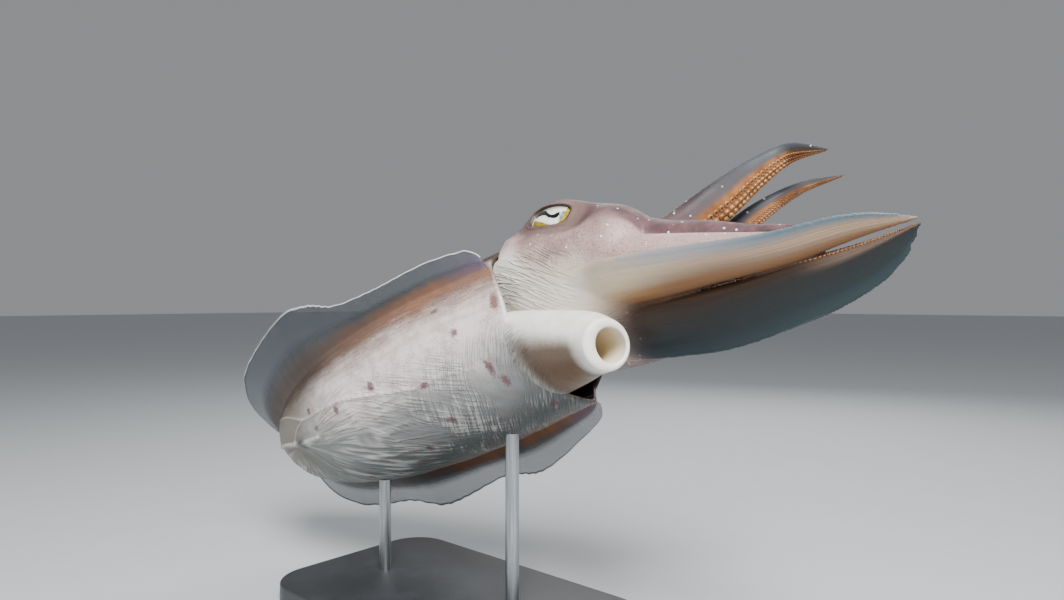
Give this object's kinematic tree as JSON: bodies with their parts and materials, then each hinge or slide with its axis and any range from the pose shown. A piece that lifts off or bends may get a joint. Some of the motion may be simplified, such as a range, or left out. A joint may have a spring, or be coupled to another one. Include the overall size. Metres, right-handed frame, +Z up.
{
  "type": "broadclub cuttlefish",
  "caption": "Life-size swimming cuttlefish with raised upper arms, banked on a flat display base with short rods.",
  "frame": {"origin": "middle of the display base's underside", "axes": "+X the way the animal heads, +Y to the side its back is banked to, +Z up"},
  "size_m": [0.5204, 0.1718, 0.3179],
  "materials": {
    "mantle_skin": "moist pale lilac-white belly skin, brown mottled back",
    "fin_skin": "thin translucent bluish membrane, orange-brown along its root",
    "head_skin": "moist mauve-brown skin with tiny white dots, cream neck",
    "arm_skin": "moist skin from cream to orange-brown, blue-grey edges",
    "funnel_skin": "smooth moist cream skin",
    "eye": "glossy, silvery white with a yellow rim and a black W-shaped pupil",
    "base_paint": "satin dark grey",
    "rod_steel": "brushed"
  },
  "bodies": {
    "root": {"stand_base": "base_paint", "stand_rod_back": "rod_steel", "stand_rod_front": "rod_steel", "mantle": "mantle_skin", "fin_right": "fin_skin", "fin_left": "fin_skin", "head": "head_skin", "eye_right": "eye", "eye_left": "eye", "funnel": "funnel_skin", "arm_1_right_base": "arm_skin", "arm_1_right_tip": "arm_skin", "arm_1_left_base": "arm_skin", "arm_1_left_tip": "arm_skin", "arm_2_right": "arm_skin", "arm_2_left": "arm_skin", "arm_3_right": "arm_skin", "arm_3_left": "arm_skin", "arm_4_right": "arm_skin", "arm_4_left": "arm_skin"}
  },
  "joints": []
}
